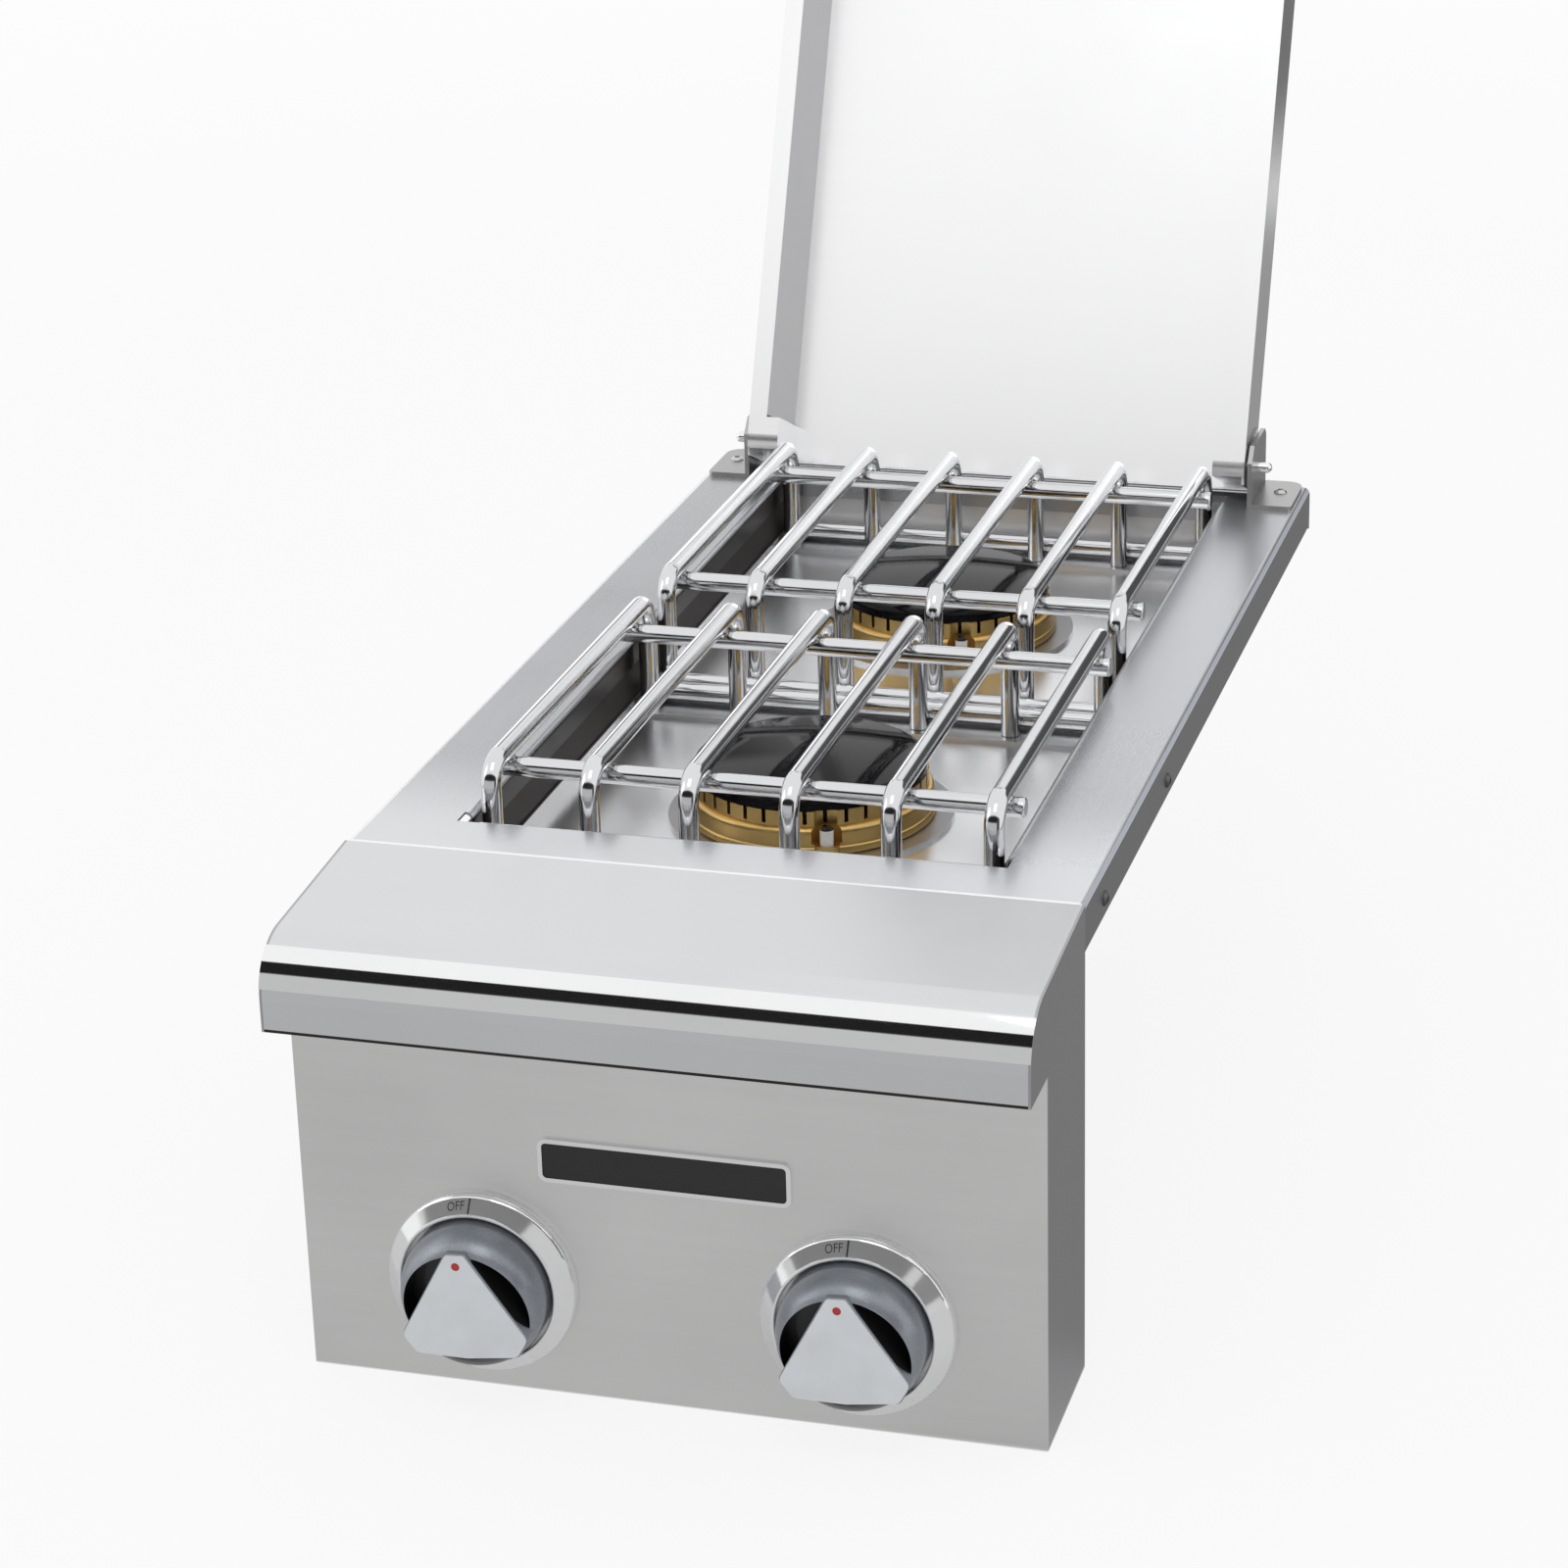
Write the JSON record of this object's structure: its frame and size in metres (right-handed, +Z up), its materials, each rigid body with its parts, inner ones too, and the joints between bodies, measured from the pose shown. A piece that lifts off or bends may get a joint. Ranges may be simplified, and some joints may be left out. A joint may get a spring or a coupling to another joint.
{
  "type": "built in side burner",
  "caption": "Built in gas side burner: bullnose front with knobs, burners in line under round rod grates, rolled deck and a hinged lid leaning back.",
  "frame": {"origin": "middle of the rear seat flange's underside, on the counter's surface", "axes": "+X to the right seen from the knobs, +Y from the knobs to the lid's hinge, +Z up"},
  "size_m": [0.3466, 0.9253, 0.7757],
  "materials": {
    "stainless": "brushed stainless sheet, satin",
    "polished": "polished stainless",
    "box_steel": "plain stainless inside the box, dull",
    "rods": "polished stainless rod",
    "brass": "machined brass, satin",
    "enamel": "black enamel, gloss",
    "ceramic": "white glazed ceramic",
    "tube": "plain aluminium tube",
    "knob": "dark grey satin",
    "knob_face": "satin face plate",
    "red": "red, gloss",
    "zinc": "dark grey, satin",
    "black_plastic": "black, matte",
    "lead": "black sleeve, matte",
    "plate": "satin plate with a polished border",
    "spring": "spring steel, dull"
  },
  "bodies": {
    "frame": {"deck": "stainless", "front_nose": "stainless", "nose_trim": "polished", "left_cheek": "stainless", "right_cheek": "stainless", "control_panel": "stainless", "nameplate": "plate", "left_bezel": "polished", "right_bezel": "polished", "heat_shield": "box_steel", "firebox": "box_steel", "firebox_hangers": "box_steel", "pan_rails": "box_steel", "front_drip_pan": "stainless", "rear_drip_pan": "stainless", "front_burner_base": "brass", "rear_burner_base": "brass", "front_burner_throat": "box_steel", "rear_burner_throat": "box_steel", "front_jet": "brass", "rear_jet": "brass", "front_gas_tube": "tube", "rear_gas_tube": "tube", "front_electrode": "ceramic", "rear_electrode": "ceramic", "ignition_leads": "lead", "spark_module": "black_plastic", "manifold": "zinc", "inlet_fitting": "brass", "left_valve": "brass", "right_valve": "brass", "hinge_brackets": "zinc", "bracket_screws": "box_steel", "skirt_screws": "box_steel", "valve_screws": "box_steel"},
    "lid": {"lid": "stainless", "lid_rails": "stainless", "lid_hinge_blocks": "stainless", "lid_pins": "polished"},
    "left_turning": {"left_valve_plug": "brass", "left_valve_spring": "spring"},
    "left_control": {"left_stem": "box_steel", "left_knob": "knob", "left_knob_face": "knob_face", "left_knob_dot": "red"},
    "right_turning": {"right_valve_plug": "brass", "right_valve_spring": "spring"},
    "right_control": {"right_stem": "box_steel", "right_knob": "knob", "right_knob_face": "knob_face", "right_knob_dot": "red"},
    "front_cap": {"front_burner_cap": "enamel"},
    "rear_cap": {"rear_burner_cap": "enamel"},
    "front_grate": {"front_grate_bars": "rods", "front_grate_cross_rods": "rods"},
    "rear_grate": {"rear_grate_bars": "rods", "rear_grate_cross_rods": "rods"}
  },
  "joints": [
    {"name": "lid_swing", "type": "hinge", "parent": "frame", "child": "lid", "pos_m": [0, -0.024, 0.044], "axis": [-1, 0, 0], "range_deg": [-114, 0]},
    {"name": "left_valve_turn", "type": "hinge", "parent": "frame", "child": "left_turning", "pos_m": [-0.087, -0.672, -0.151], "axis": [0, -1, 0], "range_deg": [0, 210]},
    {"name": "left_knob_push", "type": "slide", "parent": "left_turning", "child": "left_control", "axis": [0, 1, 0], "range_m": [0, 0.004], "stiffness_N_per_m": 1500, "springref_m": -0.003, "deforming": ["left_valve_spring"]},
    {"name": "right_valve_turn", "type": "hinge", "parent": "frame", "child": "right_turning", "pos_m": [0.087, -0.672, -0.151], "axis": [0, -1, 0], "range_deg": [0, 210]},
    {"name": "right_knob_push", "type": "slide", "parent": "right_turning", "child": "right_control", "axis": [0, 1, 0], "range_m": [0, 0.004], "stiffness_N_per_m": 1500, "springref_m": -0.003, "deforming": ["right_valve_spring"]},
    {"name": "front_grate_lift", "type": "slide", "parent": "frame", "child": "front_grate", "axis": [0, 0, 1], "range_m": [0, 0.08]},
    {"name": "front_cap_lift", "type": "slide", "parent": "frame", "child": "front_cap", "axis": [0, 0, 1], "range_m": [0, 0.02]},
    {"name": "rear_grate_lift", "type": "slide", "parent": "frame", "child": "rear_grate", "axis": [0, 0, 1], "range_m": [0, 0.08]},
    {"name": "rear_cap_lift", "type": "slide", "parent": "frame", "child": "rear_cap", "axis": [0, 0, 1], "range_m": [0, 0.02]}
  ]
}
